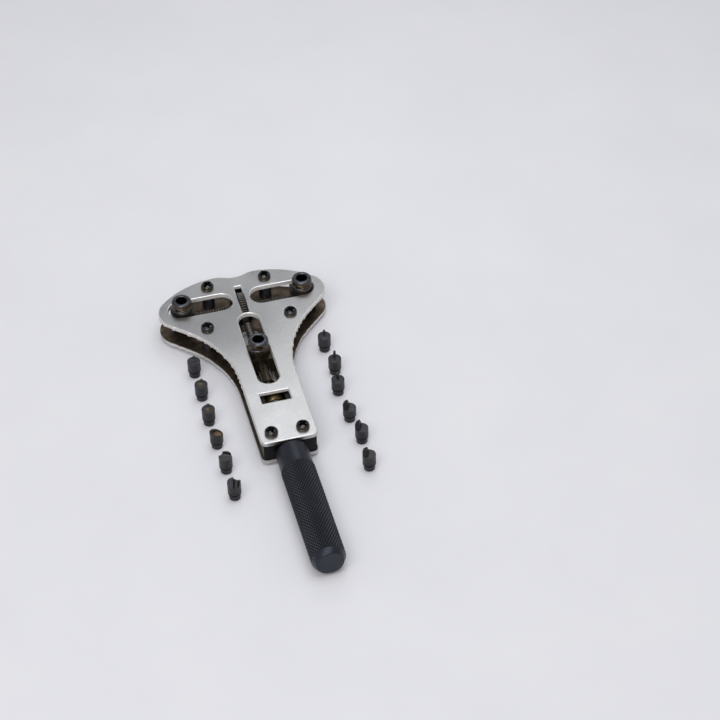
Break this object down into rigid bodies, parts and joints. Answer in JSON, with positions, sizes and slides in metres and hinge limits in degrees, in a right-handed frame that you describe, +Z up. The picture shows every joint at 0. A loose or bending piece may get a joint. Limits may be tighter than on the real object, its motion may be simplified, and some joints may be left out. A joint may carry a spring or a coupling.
{
  "type": "case back opener",
  "caption": "Three-jaw wrench for screw-down watch backs: two-plate head with sliding bit holders, thumb wheel, knurled handle and loose bits.",
  "frame": {"origin": "middle of the wrench's length and width, on the surface that it rests on, under the back screws' heads and the handle", "axes": "+Y along the wrench from the handle to the head, +X across the head, +Z up out of the bit holders' sockets"},
  "size_m": [0.082, 0.189, 0.0209],
  "materials": {
    "satin_steel": "satin stainless steel, rounded polished edges",
    "black_oxide": "black oxide steel, semi gloss with brown sheen",
    "dark_steel": "oil blackened steel, worn bright on its thread crests",
    "spring_steel": "straw tempered spring wire",
    "grip_black": "black finished steel, diamond knurl",
    "bit_steel": "black oxide tool steel, matt"
  },
  "bodies": {
    "frame": {"front_plate": "satin_steel", "back_plate": "satin_steel", "head_spacers": "black_oxide", "neck_block": "black_oxide", "front_screws": "black_oxide", "back_screws": "black_oxide", "left_bearing": "dark_steel", "right_bearing": "dark_steel"},
    "thumb_screw": {"cross_screw": "dark_steel", "thumb_wheel": "dark_steel"},
    "left_jaw": {"left_slider": "dark_steel", "left_holder": "black_oxide", "left_spring": "spring_steel"},
    "right_jaw": {"right_slider": "dark_steel", "right_holder": "black_oxide", "right_spring": "spring_steel"},
    "lower_jaw": {"lower_slider": "dark_steel", "lower_holder": "black_oxide", "lower_spring": "spring_steel"},
    "handle": {"drive_screw": "dark_steel", "thrust_collar": "dark_steel", "collar_pin": "satin_steel", "handle_grip": "grip_black", "handle_set_screw": "black_oxide"},
    "bit_square_1": {"bit_square_1": "bit_steel"},
    "bit_square_2": {"bit_square_2": "bit_steel"},
    "bit_square_3": {"bit_square_3": "bit_steel"},
    "bit_prong_1": {"bit_prong_1": "bit_steel"},
    "bit_prong_2": {"bit_prong_2": "bit_steel"},
    "bit_prong_3": {"bit_prong_3": "bit_steel"},
    "bit_pin_1": {"bit_pin_1": "bit_steel"},
    "bit_pin_2": {"bit_pin_2": "bit_steel"},
    "bit_pin_3": {"bit_pin_3": "bit_steel"},
    "bit_claw_1": {"bit_claw_1": "bit_steel"},
    "bit_claw_2": {"bit_claw_2": "bit_steel"},
    "bit_claw_3": {"bit_claw_3": "bit_steel"}
  },
  "joints": [
    {"name": "thumb_spin", "type": "hinge", "parent": "frame", "child": "thumb_screw", "pos_m": [0, 0.0763, 0.0081], "axis": [1, 0, 0], "range_deg": [0, 5500]},
    {"name": "left_jaw_slide", "type": "slide", "parent": "frame", "child": "left_jaw", "axis": [1, 0, 0], "range_m": [0, 0.0191]},
    {"name": "right_jaw_slide", "type": "slide", "parent": "frame", "child": "right_jaw", "axis": [-1, 0, 0], "range_m": [0, 0.0191]},
    {"name": "handle_spin", "type": "hinge", "parent": "frame", "child": "handle", "pos_m": [0, 0, 0.0081], "axis": [0, 1, 0], "range_deg": [-8775, 4590]},
    {"name": "lower_jaw_slide", "type": "slide", "parent": "frame", "child": "lower_jaw", "axis": [0, 1, 0], "range_m": [-0.0103, 0.0196]},
    {"name": "bit_square_1_lift", "type": "slide", "parent": "frame", "child": "bit_square_1", "axis": [0, 0, 1], "range_m": [0, 0.025]},
    {"name": "bit_square_2_lift", "type": "slide", "parent": "frame", "child": "bit_square_2", "axis": [0, 0, 1], "range_m": [0, 0.025]},
    {"name": "bit_square_3_lift", "type": "slide", "parent": "frame", "child": "bit_square_3", "axis": [0, 0, 1], "range_m": [0, 0.025]},
    {"name": "bit_prong_1_lift", "type": "slide", "parent": "frame", "child": "bit_prong_1", "axis": [0, 0, 1], "range_m": [0, 0.025]},
    {"name": "bit_prong_2_lift", "type": "slide", "parent": "frame", "child": "bit_prong_2", "axis": [0, 0, 1], "range_m": [0, 0.025]},
    {"name": "bit_prong_3_lift", "type": "slide", "parent": "frame", "child": "bit_prong_3", "axis": [0, 0, 1], "range_m": [0, 0.025]},
    {"name": "bit_pin_1_lift", "type": "slide", "parent": "frame", "child": "bit_pin_1", "axis": [0, 0, 1], "range_m": [0, 0.025]},
    {"name": "bit_pin_2_lift", "type": "slide", "parent": "frame", "child": "bit_pin_2", "axis": [0, 0, 1], "range_m": [0, 0.025]},
    {"name": "bit_pin_3_lift", "type": "slide", "parent": "frame", "child": "bit_pin_3", "axis": [0, 0, 1], "range_m": [0, 0.025]},
    {"name": "bit_claw_1_lift", "type": "slide", "parent": "frame", "child": "bit_claw_1", "axis": [0, 0, 1], "range_m": [0, 0.025]},
    {"name": "bit_claw_2_lift", "type": "slide", "parent": "frame", "child": "bit_claw_2", "axis": [0, 0, 1], "range_m": [0, 0.025]},
    {"name": "bit_claw_3_lift", "type": "slide", "parent": "frame", "child": "bit_claw_3", "axis": [0, 0, 1], "range_m": [0, 0.025]}
  ],
  "couplings": [
    {"joint": "left_jaw_slide", "follows": "thumb_spin", "m_per_rad": 0.00019894},
    {"joint": "right_jaw_slide", "follows": "thumb_spin", "m_per_rad": 0.00019894},
    {"joint": "lower_jaw_slide", "follows": "handle_spin", "m_per_rad": -0.00012732}
  ]
}
